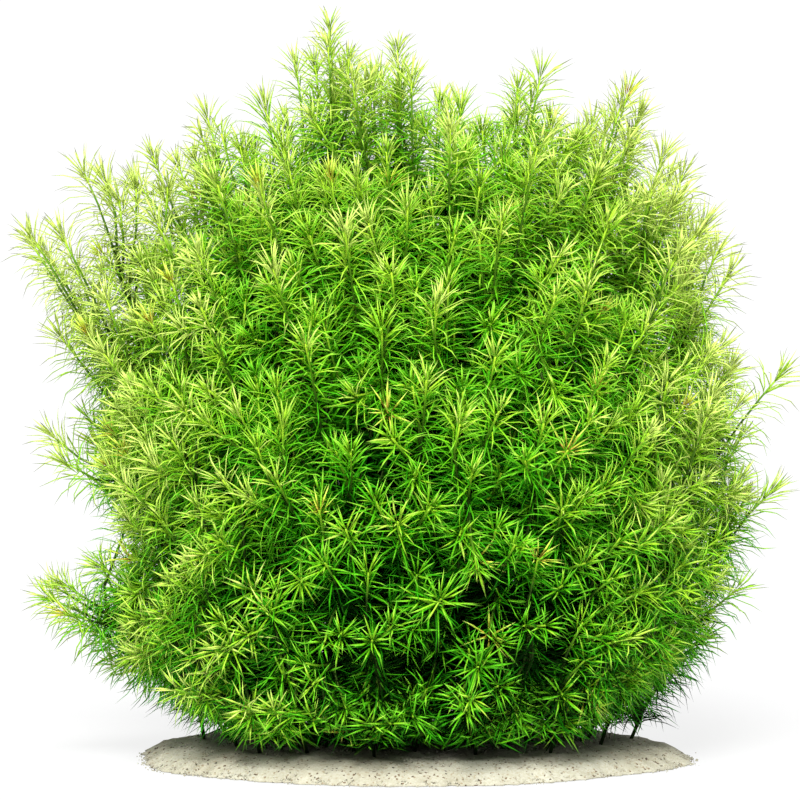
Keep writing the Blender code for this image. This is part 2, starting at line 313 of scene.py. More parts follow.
# The sand, as in the frame
SAND_HALF = (0.096, 0.068)
SAND_PLATEAU = 0.0072
SAND_PROFILE = ((0.0, 1.0), (0.80, 0.95), (0.93, 0.55), (1.0, 0.0))
SAND_WAVES = ((3, 0.018, 0.6), (5, 0.014, 2.1), (8, 0.008, 4.0))

# The mound's relief. Each uneven part is its seed, its number of waves, their length and height
THIN_RIM = 0.0004
SAND_RINGS = 46
RING_CROWDING = 0.8
SAND_SIDES = 220
RAGGED_RADIUS = 0.1
RAGGED_EDGE = (3, 8, 0.006, 0.016)
SAND_RELIEFS = ((4, 10, 0.012, 0.00035), (5, 14, 0.003, 0.00018))
WAVELENGTH_JITTER = (0.6, 1.5)
RIM_SMOOTHER, RIM_SMOOTHER_POWER = 0.6, 6

# Grains, of which the loose ones lie about the rim
GRAIN_COUNT = 2400
LOOSE_SHARE = 0.65
LOOSE_FROM, LOOSE_SPREAD = 0.975, 0.026
LOOSE_RADIUS, GRAIN_RADIUS = (0.00018, 0.00042), (0.00025, 0.0006)
GRAIN_LIFT = 0.8
GRAIN_STRETCH = (0.7, 1.3)
GRAIN_CORNERS = np.array([(1, 0, 0), (-1, 0, 0), (0, 1, 0), (0, -1, 0), (0, 0, 1), (0, 0, -1)])
GRAIN_TRIS = np.array(
    [(0, 2, 4), (2, 1, 4), (1, 3, 4), (3, 0, 4), (2, 0, 5), (1, 2, 5), (3, 1, 5), (0, 3, 5)]
)

# Colours of the sand
SPECK_SCALE = 1500.0
SAND_COLORS = (
    (0.0, (0.045, 0.035, 0.025)),
    (0.035, (0.14, 0.09, 0.05)),
    (0.06, (0.32, 0.27, 0.18)),
    (0.11, (0.38, 0.36, 0.27)),
    (1.0, (0.455, 0.440, 0.355)),
)
DAMP_SCALE, DAMP_DETAIL = 45.0, 4.0
DAMP_SHADES = ((0.35, (0.82, 0.80, 0.76)), (0.65, (1.0, 1.0, 1.0)))
SAND_ROUGHNESS = 0.9
SPECK_BUMP, SPECK_BUMP_HEIGHT = 0.5, 0.0003

# Studio
FLOOR_GREY = (0.62, 0.62, 0.62)
FLOOR_ROUGHNESS = 0.9
FLOOR_WHITENESS = 0.82
FLOOR_SIZE = 60
FLOOR_HEIGHT = -0.0002
AMBIENT = 0.68
KEY_STRENGTH = 6.2
KEY_SOFTNESS = math.radians(25)
KEY_FROM = Vector((-0.12, -1.15, 1.25))

# Camera
CAMERA_AIM = Vector((-0.0042, 0, 0.127))
CAMERA_DISTANCE = 2.4
CAMERA_ELEVATION = math.radians(4.5)
PICTURE_WIDTH = 0.280
SENSOR_WIDTH = 36


def rising(values, start, end):
    """From 0 at start to 1 at end, and level beyond both."""
    return np.clip((values - start) / (end - start), 0, 1)


# Layout: a place on the unit disc says where a stem is rooted, or where a shoot ends on the dome


def sunflower(count):
    """Places spread evenly over the unit disc, from the middle outwards."""
    places = []
    for i in range(count):
        r, turn = math.sqrt((i + 0.5) / count), i * GOLDEN_ANGLE
        places.append(Vector((r * math.cos(turn), r * math.sin(turn))))
    return places


def dome_tip(place):
    """The point of the dome for a place on the disc, and the dome's outward direction there."""
    share = place.length_squared**CROWDING_AT_TOP
    angle = math.acos(1 - share * (1 - math.cos(LOWEST_TIP)))
    around = place.to_3d().normalized()
    side = math.sin(angle)
    bulge = side if angle < math.pi / 2 else side**LOWER_DOME_BULGE
    offset = around * bulge + UP * math.cos(angle)
    tip = DOME_CENTRE + Vector(a * b for a, b in zip(offset, DOME_HALF))
    return tip, around * side + UP * math.cos(angle)


def foot_of(place, rng):
    """Where the stem of a place on the disc comes out of the sand."""
    x = place.x * FOOT_HALF[0] + rng.uniform(-FOOT_JITTER, FOOT_JITTER)
    y = place.y * FOOT_HALF[1] + rng.uniform(-FOOT_JITTER, FOOT_JITTER)
    return Vector((x, y, SAND_PLATEAU))


def outline_place(x, z):
    """The place on the disc of the dome's point that lies in the direction of (x, z) in the outline."""
    across = (x - DOME_CENTRE.x) / DOME_HALF.x
    height = (z - DOME_CENTRE.z) / DOME_HALF.z
    cosine = height / math.hypot(across, height)
    share = (1 - cosine) / (1 - math.cos(LOWEST_TIP))
    r = math.sqrt(share ** (1 / CROWDING_AT_TOP))
    return Vector((math.copysign(r, across), 0))


def nearest(items, place, place_of):
    """The item whose place lies nearest to the given one."""
    return min(items, key=lambda item: (place_of(item) - place).length)


def random_direction(rng):
    """A vector towards any side, of uneven length."""
    return Vector((rng.gauss(0, 1), rng.gauss(0, 1), rng.gauss(0, 1)))


def heading_at_tip(foot, tip, outward):
    """A shoot's direction at its tip: mostly onward from its foot, bent out and a little up."""
    onward = (tip - foot).normalized()
    return (onward * TIP_ONWARD + outward * TIP_OUTWARD + UP * TIP_UPWARD).normalized()


def heading_at_foot(foot, tip):
    """Leaning towards the tip, but more upright."""
    return ((tip - foot).normalized() * FOOT_ONWARD + UP * FOOT_UPWARD).normalized()


def lowness(point):
    """From 0 in the upper half of the bush to 1 near the sand."""
    return float(rising(point.z, LOW_FROM, LOW_TO))


def turned_out(heading, tip, outward):
    """Low shoots turn away from the bush, so that their whorls face outwards."""
    flat = Vector((outward.x, outward.y, TURNED_OUT_RISE)).normalized()
    return heading.lerp(flat, TURN_OUT * lowness(tip)).normalized()


def turn_and_reach(x, z):
    """The direction and distance of a point of the outline from the dome's middle."""
    across, up = x - DOME_CENTRE.x, z - DOME_CENTRE.z
    turn = math.atan2(up, across)
    return (turn if turn > -math.pi / 2 else turn + FULL_TURN), math.hypot(across, up)


def outline_profile():
    """Directions in rising order, and how far the outline reaches in each."""
    tips = [turn_and_reach(x, z) for x, z in OUTLINE_TIPS]
    points = [(turn, reach + TIP_LEAVES) for turn, reach in tips]
    points += [turn_and_reach(x, z) for x, z in OUTLINE_HOLLOWS]
    return np.array(sorted(points)).T


OUTLINE_TURNS, OUTLINE_REACHES = outline_profile()


def held_in(tip):
    """A twig's tip, drawn in where it would stand out past the bush's outline."""
    turn, reach = turn_and_reach(tip.x, tip.z)
    margin = TWIG_MARGIN + LEFT_MARGIN * max(-math.cos(turn), 0)
    allowed = np.interp(turn, OUTLINE_TURNS, OUTLINE_REACHES) - margin
    share = min(allowed / reach, 1)
    x = DOME_CENTRE.x + (tip.x - DOME_CENTRE.x) * share
    z = DOME_CENTRE.z + (tip.z - DOME_CENTRE.z) * share
    return Vector((x, tip.y, z))


def lay_out_bush():
    """The stems, each with its place, its foot and its shoots, its own shoot first."""
    rng = random.Random(SEED)
    stems = [
        {"place": place, "foot": foot_of(place, rng), "shoots": []}
        for place in sunflower(STEM_COUNT)
    ]
    shoots = []
    for place in sunflower(SHOOT_COUNT):
        tip, outward = dome_tip(place)
        stem = nearest(stems, place, lambda item: item["place"])
        reach = 1 + rng.uniform(-REACH_JITTER, REACH_JITTER)
        shoot = {"place": place, "tip": stem["foot"].lerp(tip, reach), "outward": outward}
        stem["shoots"].append(shoot)
        shoots.append(shoot)
    for x, z in OUTLINE_TIPS:
        shoot = nearest(shoots, outline_place(x, z), lambda item: item["place"])
        shoots.remove(shoot)
        shoot["tip"] = Vector((x, shoot["tip"].y, z))
        shoot["leading"] = shoot["outline"] = True
    for stem in stems:
        own = nearest(stem["shoots"], stem["place"], lambda item: item["place"])
        stem["shoots"] = [own] + [s for s in stem["shoots"] if s is not own]
        for shoot in stem["shoots"]:
            heading = heading_at_tip(stem["foot"], shoot["tip"], shoot["outward"])
            shoot["heading"] = heading
            if shoot.get("leading"):
                shoot["tip"] = shoot["tip"] - heading * DRAWN_BACK
            else:
                shoot["tip"] = held_in(shoot["tip"])
                shoot["heading"] = turned_out(heading, shoot["tip"], shoot["outward"])
    return stems


# Paths: the centre line of a shoot, as evenly sampled points with a direction and a side at each


def bezier(start, leave, tip, arrive, t):
    """A point of the cubic curve that leaves start along leave and reaches tip along arrive."""
    span = (tip - start).length * BEZIER_HANDLE
    a, b = start + leave * span, tip - arrive * span
    s = 1 - t
    return start * s**3 + a * (3 * s * s * t) + b * (3 * s * t * t) + tip * t**3


def make_path(start, leave, tip, arrive, rng):
    """Points, directions and sides along a shoot, with its lengths measured from the tip."""
    wave = rng.uniform(0, FULL_TURN)
    lean = random_direction(rng) * WAVER
    points = []
    for k in range(PATH_STEPS + 1):
        t = k / PATH_STEPS
        sway = math.sin(math.pi * t) * math.sin(FULL_TURN * t + wave)
        points.append(bezier(start, leave, tip, arrive, t) + lean * sway)
    points = np.array(points)
    steps = np.diff(points, axis=0)
    lengths = np.linalg.norm(steps, axis=1)
    to_tip = np.concatenate([np.cumsum(lengths[::-1])[::-1], [0.0]])
    along = np.vstack([steps[:1], steps[:-1] + steps[1:], steps[-1:]])
    along /= np.linalg.norm(along, axis=1)[:, None]
    side = np.cross(along[0], SIDE_HINT)
    sides = []
    for direction in along:
        side = side - direction * side.dot(direction)
        side /= np.linalg.norm(side)
        sides.append(side)
    return {"points": points, "along": along, "sides": np.array(sides), "to_tip": to_tip}


def on_path(path, from_tip):
    """The points, directions and sides of a path at the given lengths from its tip."""
    order = path["to_tip"][::-1]
    found = []
    for key in ("points", "along", "sides"):
        rows = path[key][::-1]
        found.append(np.stack([np.interp(from_tip, order, rows[:, i]) for i in range(3)], axis=1))
    for rows in found[1:]:
        rows /= np.linalg.norm(rows, axis=1)[:, None]
    return found


def path_length(path):
    return path["to_tip"][0]


def far_places(count, taken, rng):
    """More places on the disc, each as far as it can be from those already taken."""
    taken = [tuple(place) for place in taken]
    found = []
    for _ in range(count):
        best, best_gap = None, -1.0
        known = np.array(taken)
        for _ in range(TWIG_CANDIDATES):
            r, turn = rng.random() ** TWIG_LOWNESS, rng.uniform(0, FULL_TURN)
            place = (r * math.cos(turn), r * math.sin(turn))
            gap = np.min(np.hypot(known[:, 0] - place[0], known[:, 1] - place[1]))
            if gap > best_gap:
                best, best_gap = place, gap
        taken.append(best)
        found.append(Vector(best))
    return found


def grow_shoots(stems):
    """Gives every shoot its path, forked from its stem as in the frame."""
    forks = random.Random(FORK_SEED)
    sway = random.Random(SWAY_SEED)
    for stem in stems:
        own = stem["shoots"][0]
        foot, tip, heading = stem["foot"], own["tip"], own["heading"]
        leave = heading_at_foot(foot, tip)
        own["path"] = make_path(foot, leave, tip, heading, sway)
        for shoot in stem["shoots"][1:]:
            fork = forks.uniform(FORK_FROM, FORK_TO)
            start = bezier(foot, leave, tip, heading, fork)
            onward = bezier(foot, leave, tip, heading, fork + ONWARD_STEP) - start
            towards = onward.normalized() + (shoot["tip"] - start).normalized()
            shoot["path"] = make_path(
                start, towards.normalized(), shoot["tip"], shoot["heading"], sway
            )


def fork_off(parent, fork, tip, heading, rng):
    """The path of a twig that leaves its parent's path at a share of its length."""
    from_tip = np.array([path_length(parent["path"]) * (1 - fork)])
    points, along, _ = on_path(parent["path"], from_tip)
    start, onward = Vector(points[0]), Vector(along[0])
    towards = onward + (tip - start).normalized()
    return make_path(start, towards.normalized(), tip, heading, rng)


def add_twigs(stems, count, reach, seed):
    """Twigs between the shoots, each forked from the shoot that ends nearest to it."""
    rng = random.Random(seed)
    owners = [(shoot, stem) for stem in stems for shoot in stem["shoots"] if "heading" in shoot]
    taken = [shoot["place"] for stem in stems for shoot in stem["shoots"]]
    for place in far_places(count, taken, rng):
        parent, stem = nearest(owners, place, lambda item: item[0]["place"])
        dome, outward = dome_tip(place)
        shorter = LOW_TWIG_SHORTER * lowness(dome)
        tip = held_in(stem["foot"].lerp(dome, rng.uniform(*reach) - shorter))
        heading = turned_out(heading_at_tip(stem["foot"], tip, outward), tip, outward)
        heading = (heading + random_direction(rng) * TWIG_TURN).normalized()
        path = fork_off(parent, rng.uniform(*TWIG_FORK), tip, heading, rng)
        stem["shoots"].append({"place": place, "tip": tip, "path": path})


def add_companions(stems):
    """Shorter twigs round each shoot that stands out on the bush's outline."""
    rng = random.Random(COMPANION_SEED)
    jitter = COMPANION_TURN_JITTER
    for stem in stems:
        leading = [shoot for shoot in stem["shoots"] if shoot.get("leading")]
        for parent in leading:
            first = rng.uniform(0, FULL_TURN)
            for k in range(COMPANIONS):
                turn = first + FULL_TURN * k / COMPANIONS + rng.uniform(-jitter, jitter)
                heading = parent["heading"]
                aside = heading.orthogonal().normalized()
                aside = aside * math.cos(turn) + heading.cross(aside) * math.sin(turn)
                tip = parent["tip"] - heading * rng.uniform(*COMPANION_BACK)
                tip = held_in(tip + aside * rng.uniform(*COMPANION_ASIDE))
                towards = heading + aside * COMPANION_OUTWARD + UP * COMPANION_UPWARD
                fork = rng.uniform(*COMPANION_FORK)
                path = fork_off(parent, fork, tip, towards.normalized(), rng)
                shoot = {"place": parent["place"], "tip": tip, "path": path, "outline": True}
                stem["shoots"].append(shoot)


def add_outline_twigs(stems):
    """One twig for each further tip on the outline, forked from the nearest shoot there."""
    rng = random.Random(OUTLINE_TWIG_SEED)
    leading = [(s, stem) for stem in stems for s in stem["shoots"] if s.get("leading")]
    for x, z in OUTLINE_TWIGS:
        at = Vector((x, z))
        parent, stem = nearest(leading, at, lambda item: item[0]["tip"].xz)
        aside = rng.uniform(-OUTLINE_TWIG_DEPTH, OUTLINE_TWIG_DEPTH)
        tip = Vector((x, parent["tip"].y + aside, z))
        heading = parent["heading"] + (tip - parent["tip"]) * OUTLINE_TWIG_TURN
        fork = rng.uniform(*OUTLINE_TWIG_FORK)
        path = fork_off(parent, fork, tip, heading.normalized(), rng)
        shoot = {"place": parent["place"], "tip": tip, "path": path, "outline": True}
        stem["shoots"].append(shoot)


def add_band(stems, band):
    """Short twigs within a range of heights and of distances from the bush's middle."""
    rng = random.Random(band.seed)
    for k in range(band.count):
        turn = k * GOLDEN_ANGLE
        height = rng.uniform(*band.heights)
        spread = rng.uniform(*band.spreads) + band.widening * rising(height, *band.heights)
        around = Vector((math.cos(turn), math.sin(turn), 0))
        tip = Vector((around.x * DOME_HALF.x, around.y * DOME_HALF.y, 0)) * spread
        tip = held_in(tip + Vector((DOME_CENTRE.x, DOME_CENTRE.y, height)))
        stem = nearest(stems, tip.xy, lambda item: item["foot"].xy)
        parent = stem["shoots"][0]
        heading = (around + UP * rng.uniform(*band.lifts)).normalized()
        path = fork_off(parent, rng.uniform(*band.forks), tip, heading, rng)
        stem["shoots"].append({"place": stem["place"], "tip": tip, "path": path})


# Meshes are gathered as sets of arrays: vertices, triangles, and a (tone, mark) pair for each vertex


def tube(path, planted):
    """A stem or a twig along its path, closed at both ends."""
    length = path_length(path)
    count = max(3, int(length / RING_SPACING) + 1)
    from_tip = np.linspace(length, 0, count)
    points, along, sides = on_path(path, from_tip)
    if planted:
        points[0] -= along[0] * PLANTED
    other = np.cross(along, sides)
    radius = np.linspace(STEM_RADIUS if planted else TWIG_RADIUS, TIP_RADIUS, count)
    turns = np.arange(STEM_SIDES) * FULL_TURN / STEM_SIDES
    cos, sin = np.cos(turns)[None, :, None], np.sin(turns)[None, :, None]
    ring = cos * sides[:, None] + sin * other[:, None]
    verts = (points[:, None] + ring * radius[:, None, None]).reshape(-1, 3)
    tris = []
    for k in range(count - 1):
        for j in range(STEM_SIDES):
            a, b = k * STEM_SIDES + j, k * STEM_SIDES + (j + 1) % STEM_SIDES
            tris += [(a, b, b + STEM_SIDES), (a, b + STEM_SIDES, a + STEM_SIDES)]
    last = (count - 1) * STEM_SIDES
    for j in range(1, STEM_SIDES - 1):
        tris += [(0, j + 1, j), (last, last + j, last + j + 1)]
    marks = np.tile(STEM_MARK + STEM_MARK_SPREAD * np.cos(turns), count)
    tones = np.repeat(stem_tones(from_tip, points[:, 2]), STEM_SIDES)
    return verts, np.array(tris), np.stack([tones, marks], axis=1)


def stem_tones(from_tip, height):
    """Bright at the growing tip and darker with age, with painted shade that darkens young stems and
    their tips near the sand.
    """
    young = STEM_YOUNG * np.clip(1 - from_tip / STEM_YOUNG_LENGTH, 0, 1)
    lit = rising(height, STEM_LOW_FROM, STEM_LOW_TO)
    young *= STEM_LOW_SHARE + (1 - STEM_LOW_SHARE) * lit
    tip = STEM_TIP * np.exp(-((from_tip / STEM_TIP_LENGTH) ** 2))
    return STEM_DARKEST + young + tip * rising(height, STEM_TIP_DARK_TO, STEM_TIP_BRIGHT_FROM)


def leaf_tris(kind):
    """The triangles of a leaf with rings of three points, a tip, and a flat or a pointed base."""
    start = int(kind.pointed)
    turns = [(j, (j + 1) % 3) for j in range(3)]
    tris = [(start + b, start + a, 0) for a, b in turns] if kind.pointed else [(0, 2, 1)]
    for k in range(len(kind.rings) - 1):
        first = start + 3 * k
        for a, b in turns:
            tris += [(first + a, first + b, first + b + 3), (first + a, first + b + 3, first + a + 3)]
    last = start + 3 * (len(kind.rings) - 1)
    tris += [(last + a, last + b, last + 3) for a, b in turns]
    return np.array(tris)


def bent(angles, bends, share):
    """A leaf's direction at a share of its length, and how far along and out it has come."""
    turn = angles + bends * share
    forward = (np.sin(turn) - np.sin(angles)) / bends
    outward = (np.cos(angles) - np.cos(turn)) / bends
    return turn, forward, outward


def leaf_ends(leaf):
    """The points in which leaves end, but for their sideways curl."""
    _, forward, outward = bent(leaf["angles"], leaf["bends"], 1)
    reach = forward[:, None] * leaf["along"] + outward[:, None] * leaf["out"]
    ends = leaf["base"] + reach * leaf["lengths"][:, None]
    ends[:, 2] -= leaf["droops"] * leaf["lengths"]
    return ends


def leaves(kind, leaf):
    """Narrow keeled leaves. Each one arches away from its stem's direction by its bend."""
    start = int(kind.pointed)
    shares = np.array([0.0] * start + [share for share, _ in kind.rings] + [1.0])
    widths = np.array([width for _, width in kind.rings])
    base, along, out = leaf["base"], leaf["along"], leaf["out"]
    across = np.cross(along, out)
    turn, forward, outward = bent(leaf["angles"][:, None], leaf["bends"][:, None], shares)
    line = forward[..., None] * along[:, None] + outward[..., None] * out[:, None]
    line = line + across[:, None] * (leaf["curls"][:, None] * shares**2)[..., None]
    line[..., 2] -= leaf["droops"][:, None] * shares**2
    line = base[:, None] + line * leaf["lengths"][:, None, None]
    face = np.sin(turn)[..., None] * along[:, None] - np.cos(turn)[..., None] * out[:, None]
    cos, sin = (f(leaf["twists"])[:, None, None] for f in (np.cos, np.sin))
    wide = across[:, None] * cos + face * sin
    face = face * cos - across[:, None] * sin
    spread = leaf["girths"][:, None, None] * widths[None, :, None]
    centre, wide, face = line[:, start:-1], wide[:, start:-1], face[:, start:-1]
    left = centre - wide * LEAF_HALF_WIDTH * spread
    right = centre + wide * LEAF_HALF_WIDTH * spread
    under = centre - face * LEAF_THICKNESS * spread
    body = np.stack([left, right, under], axis=2).reshape(len(base), -1, 3)
    verts = np.concatenate([line[:, :start], body, line[:, -1:]], axis=1)
    tris = leaf_tris(kind)[None] + (np.arange(len(base)) * verts.shape[1])[:, None, None]
    where = np.concatenate([shares[:start], np.repeat(shares[start:-1], 3), [1.0]])
    glow = np.where(leaf["tones"] < WARM_FROM, BASE_GLOW, 0.0)
    tone = leaf["tones"][:, None] + glow[:, None] * (0.5 - where)
    marks = where[None] * MARK_SPAN + leaf["dark_ends"][:, None] * DARK_MARKS
    pairs = np.stack([tone, marks], axis=2).reshape(-1, 2)
    return verts.reshape(-1, 3), tris.reshape(-1, 3), pairs


def whorl_places(length, low, rng):
    """Lengths from the tip at which the whorls sit: crowded at the tip, then evenly spaced."""
    places, at, gap = [], FIRST_WHORL, FIRST_GAP * (1 + LOW_GAP_WIDER * low)
    while at < length:
        places.append(at)
        at += gap * rng.uniform(*GAP_JITTER)
        gap = min(gap * GAP_GROWTH, INTERNODE if at < OLD_FROM else OLD_INTERNODE)
    return places


def dome_depth(points):
    """How deep points lie under the dome's surface, in metres. It draws in again near the sand."""
    offset = (points - np.array(DOME_CENTRE)) / np.array(DOME_HALF)
    upper = np.linalg.norm(offset, axis=1)
    lower = np.hypot(offset[:, 0], offset[:, 1])
    share = np.where(offset[:, 2] > 0, upper, lower)
    surface = np.interp(points[:, 2], (0, LOW_DOME_TO), (LOW_DOME_SHARE, 1))
    return np.maximum(surface - share, 0) * min(DOME_HALF)


def leaf_tones(points, at, depth):
    """Brighter at growing tips, with painted light near the dome, high up and at the two ends, and
    painted shade deep inside, low down and at the foot.
    """
    x, z = points[:, 0], points[:, 2]
    high = rising(z, HIGH_FROM, HIGH_TO)
    side = rising(np.abs(x), SIDE_FROM, SIDE_TO)
    shade = rising(z, SHADE_FROM, SHADE_TO) * (1 - SIDE_LESS_SHADED * side)
    upper = UPPER_TIPS * np.exp(-at / UPPER_TIP_LENGTH) + UPPER_PAINTED_LIGHT_HIGH * high
    upper += UPPER_PAINTED_LIGHT_OUTSIDE * np.exp(-depth / UPPER_PAINTED_LIGHT_DEPTH)
    lit = LIT_INSIDE + (1 - LIT_INSIDE) * np.exp(-depth / LIT_DEPTH)
    lower = LOWER_TIPS * lit * np.exp(-((at / LOWER_TIP_LENGTH) ** 2)) + LOWER_PAINTED_LIGHT_HIGH * high
    lower += LOWER_PAINTED_LIGHT_OUTSIDE * np.exp(-depth / LOWER_PAINTED_LIGHT_DEPTH)
    foot = rising(z, FOOT_FROM, FOOT_TO) * (1 - np.exp(-((at / FOOT_TIP_LENGTH) ** 2)))
    left = rising(-x, LEFT_FROM, LEFT_TO) * shade
    edge = (SIDE_PAINTED_LIGHT * side + LEFT_PAINTED_LIGHT * left) * np.exp(-depth / EDGE_DEPTH)
    return upper * (1 - shade) + lower * shade - FOOT_PAINTED_SHADE * foot + edge


def leaf_rows(shoot, low, rng):
    """One row of numbers for each leaf of a shoot, in the order that leafy_shoot names."""
    dark_share = OUTLINE_DARK_ENDS if shoot.get("outline") else DARK_ENDS
    opening = (OPENING - LOW_OPENING_LESS * low) * rng.uniform(*OPENING_JITTER)
    upright = rng.uniform(*UPRIGHT) + LOW_UPRIGHT_MORE * low
    arching = (OLD_ARCH_MORE - LOW_ARCH_LESS * low) * rng.uniform(*ARCH_JITTER)
    size = rng.uniform(*LEAF_LENGTH) * (1 - (1 - LOW_LEAF_SHARE) * low)
    length = path_length(shoot["path"]) * LEAFY_SHARE
    rows = []
    turn = rng.uniform(0, FULL_TURN)
    for at in whorl_places(length, low, rng):
        count = rng.choice(WHORL_COUNTS if at > TIP_WHORLS_TO else TIP_WHORL_COUNTS)
        turn += math.pi / count + rng.uniform(-WHORL_TURN_JITTER, WHORL_TURN_JITTER)
        old = 1 - math.exp(-at / opening)
        grown = TIP_LEAF_SHARE + (1 - TIP_LEAF_SHARE) * (1 - math.exp(-at / GROWN_WITHIN))
        angle = upright + (OPENED - LOW_OPENED_LESS * low) * old
        arch = TIP_ARCH + arching * (1 - math.exp(-at / ARCHED_WITHIN))
        girth = OLD_GIRTH + TIP_GIRTH_MORE * math.exp(-at / TIP_GIRTH_WITHIN)
        for j in range(count):
            row = (
                at,
                turn + FULL_TURN * j / count + rng.gauss(0, LEAF_TURN_SPREAD),
                size * grown * rng.uniform(*LENGTH_JITTER),
                max(math.radians(angle + rng.gauss(0, ANGLE_SPREAD)), LEAST_ANGLE),
                math.radians(max(LEAST_ARCH, arch + rng.gauss(0, ARCH_SPREAD))),
                rng.uniform(0.0, DROOP) * old,
                rng.gauss(0, CURL_SPREAD),
                rng.gauss(0, TWIST_SPREAD),
                rng.uniform(*GIRTH_JITTER) * girth,
                float(rng.random() < dark_share),
                rng.gauss(0, LEAF_TONE_SPREAD),
                rng.random(),
            )
            rows.append(row)
    return np.array(rows)


def clears_ground(base, ends):
    """Whether leaves stay above the sand, and at the front above a line that rises outwards."""
    beyond = np.hypot(ends[:, 0] / SAND_HALF[0], ends[:, 1] / SAND_HALF[1])
    ground = SAND_PLATEAU + GROUND_CLEARANCE + BEYOND_SAND_RISE * np.maximum(beyond - 1, 0)
    ground += FRONT_RISE * np.maximum(-ends[:, 1] - FRONT_FROM, 0)
    return np.minimum(ends[:, 2], base[:, 2] - BASE_CLEARANCE) > ground


def leafy_shoot(shoot, rng):
    """Every leaf of one shoot, as sets of arrays, with fewer faces far from the tip and deep inside."""
    low = 0.0 if shoot.get("outline") else lowness(shoot["tip"])
    is_warm = rng.random() < WARM_SHARE
    warm = WARM_TONE + WARM_TONE_MORE * rng.random() if is_warm else None
    own_shift = rng.gauss(0, SHOOT_TONE_SPREAD)
    rows = leaf_rows(shoot, low, rng)
    at, turns, lengths, angles, bends, droops, curls, twists, girths, dark_ends, shifts, picks = rows.T
    points, along, sides = on_path(shoot["path"], at)
    other = np.cross(along, sides)
    out = np.cos(turns)[:, None] * sides + np.sin(turns)[:, None] * other
    depth = dome_depth(points)
    tones = leaf_tones(points, at, depth) + shifts + own_shift
    if shoot.get("outline"):
        tones -= OUTLINE_DULLER
    tones = np.clip(tones, BASE_GLOW / 2, GREENEST)
    if is_warm:
        tones = np.where(at < WARM_LENGTH, warm, tones)
    deep = (at > DEEP_FROM) & (depth > DEEP)
    fine = (bends > FINE_BEND) & (at < FINE_LENGTH) & (depth < FINE_DEPTH) & ~deep
    coarse = ~fine & ~deep
    wider = np.where(deep, 1 + DEEP_WIDER * rising(depth, DEEP, WIDEST_DEPTH), 1)
    excess = np.where(coarse, np.maximum(bends - COARSE_BEND, 0), 0)
    leaf = {
        "base": points + out * LEAF_SUNK,
        "along": along,
        "out": out,
        "lengths": lengths,
        "angles": angles + excess / 2,
        "bends": bends - excess,
        "droops": droops,
        "curls": curls,
        "twists": twists,
        "girths": girths * wider,
        "dark_ends": dark_ends,
        "tones": tones,
    }
    shown = clears_ground(leaf["base"], leaf_ends(leaf))
    shown &= (depth < DEEPEST) | (picks > DEEPEST_LEFT_OUT)
    sets = []
    for kind, of_kind in ((FINE_LEAF, fine), (COARSE_LEAF, coarse), (DEEP_LEAF, deep)):
        chosen = of_kind & shown
        if chosen.any():
            sets.append(leaves(kind, {name: values[chosen] for name, values in leaf.items()}))
    return sets


def joined(sets):
    """Several meshes as one: vertices, triangles, and any further arrays for each vertex."""
    verts, tris, *further = zip(*sets)
    firsts = np.cumsum([0] + [len(part) for part in verts[:-1]])
    tris = [part + first for part, first in zip(tris, firsts)]
    return [np.concatenate(parts) for parts in (verts, tris, *further)]


def make_object(name, verts, tris, material):
    mesh = bpy.data.meshes.new(name)
    mesh.from_pydata(verts, [], tris)
    mesh.shade_smooth()
    mesh.materials.append(material)
    obj = bpy.data.objects.new(name, mesh)
    bpy.context.scene.collection.objects.link(obj)
    return obj


def hold_pairs(mesh, tris, pairs):
    """Puts the (tone, mark) pairs into the mesh's UV maps."""
    corners = pairs[tris.ravel()].astype(np.float32).ravel()
    for label in UV_NAMES:
        mesh.uv_layers.new(name=label).data.foreach_set("uv", corners)


# Materials


def new_material(name):
    """A material with its node tree and its shader."""
    material = bpy.data.materials.new(name)
    material.use_nodes = True
    tree = material.node_tree
    return material, tree, tree.nodes["Principled BSDF"]


def feed(tree, socket, value):
    """Links a socket to an output, or sets it to a value. Colours get their alpha here."""
    if isinstance(value, bpy.types.NodeSocket):
        tree.links.new(value, socket)
    elif socket.type == "RGBA":
        socket.default_value = (*value, 1)
    else:
        socket.default_value = value


def fed(tree, made, **sockets):
    """A node, after its input sockets are fed by name."""
    for name, value in sockets.items():
        feed(tree, made.inputs[name.replace("_", " ")], value)
    return made


def node(tree, kind, **sockets):
    return fed(tree, tree.nodes.new(kind), **sockets)


def ramp(tree, factor, stops):
    """A colour by a factor. The colour of a stop may be one number, for a grey."""
    made = node(tree, "ShaderNodeValToRGB", Fac=factor)
    elements = made.color_ramp.elements
    while len(elements) < len(stops):
        elements.new(0.5)
    for element, (position, color) in zip(elements, stops):
        element.position = position
        element.color = (*(color if isinstance(color, tuple) else (color,) * 3), 1)
    return made.outputs["Color"]


def maths(tree, operation, first, second):
    made = tree.nodes.new("ShaderNodeMath")
    made.operation = operation
    for socket, value in zip(made.inputs, (first, second)):
        feed(tree, socket, value)
    return made.outputs["Value"]


def mixed(tree, factor, first, second, blend="MIX"):
    """A mix of two colours, each a socket or a fixed colour."""
    made = tree.nodes.new("ShaderNodeMix")
    made.data_type = "RGBA"
    made.blend_type = blend
    shown = [socket for socket in made.inputs if socket.enabled]
    for socket, value in zip(shown, (factor, first, second)):
        feed(tree, socket, value)
    return [socket for socket in made.outputs if socket.enabled][0]


def noise(tree, place, scale, detail):
    made = node(tree, "ShaderNodeTexNoise", Vector=place, Scale=scale, Detail=detail)
    return made.outputs["Fac"]


def bump(tree, relief, strength, height):
    made = node(tree, "ShaderNodeBump", Height=relief, Strength=strength, Distance=height)
    return made.outputs["Normal"]


